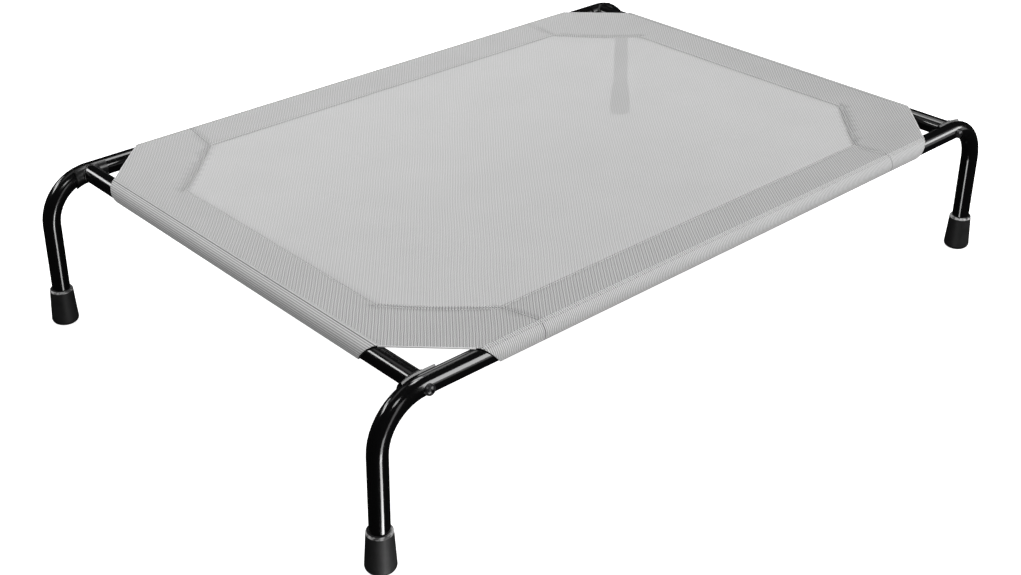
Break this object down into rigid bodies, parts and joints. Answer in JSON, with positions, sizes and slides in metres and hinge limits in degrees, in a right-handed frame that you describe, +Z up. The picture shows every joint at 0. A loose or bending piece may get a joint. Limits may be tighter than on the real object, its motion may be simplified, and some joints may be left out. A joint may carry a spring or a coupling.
{
  "type": "raised dog bed",
  "caption": "Raised rectangular pet bed: a bolted round-tube frame on bent legs with foot caps, carrying a flat sling of mesh cloth with cut-off corners.",
  "frame": {"origin": "on the floor, under the middle of the bed", "axes": "+X along the two long leg rails, -Y towards the front rail, +Z up"},
  "size_m": [1.187, 0.7728, 0.2294],
  "materials": {
    "black_gloss_paint": "gloss powder coat",
    "black_fastener": "black zinc, semi-gloss",
    "zinc_steel": "zinc plated",
    "cap_plastic": "satin moulded",
    "grey_mesh_cloth": "ribbed textile mesh, matte"
  },
  "bodies": {
    "root": {"front_left_corner_patch": "grey_mesh_cloth", "front_left_curved_washer": "black_fastener", "front_left_foot_cap": "cap_plastic", "front_left_frame_bolt": "black_fastener", "front_left_saddle": "black_gloss_paint", "front_left_threaded_insert": "zinc_steel", "front_leg_rail": "black_gloss_paint", "front_right_corner_patch": "grey_mesh_cloth", "front_right_curved_washer": "black_fastener", "front_right_foot_cap": "cap_plastic", "front_right_frame_bolt": "black_fastener", "front_right_saddle": "black_gloss_paint", "front_right_threaded_insert": "zinc_steel", "front_sleeve": "grey_mesh_cloth", "left_cross_tube": "black_gloss_paint", "left_sleeve": "grey_mesh_cloth", "rear_left_corner_patch": "grey_mesh_cloth", "rear_left_curved_washer": "black_fastener", "rear_left_foot_cap": "cap_plastic", "rear_left_frame_bolt": "black_fastener", "rear_left_saddle": "black_gloss_paint", "rear_left_threaded_insert": "zinc_steel", "rear_leg_rail": "black_gloss_paint", "rear_right_corner_patch": "grey_mesh_cloth", "rear_right_curved_washer": "black_fastener", "rear_right_foot_cap": "cap_plastic", "rear_right_frame_bolt": "black_fastener", "rear_right_saddle": "black_gloss_paint", "rear_right_threaded_insert": "zinc_steel", "rear_sleeve": "grey_mesh_cloth", "right_cross_tube": "black_gloss_paint", "right_sleeve": "grey_mesh_cloth", "sleeping_panel": "grey_mesh_cloth"}
  },
  "joints": []
}
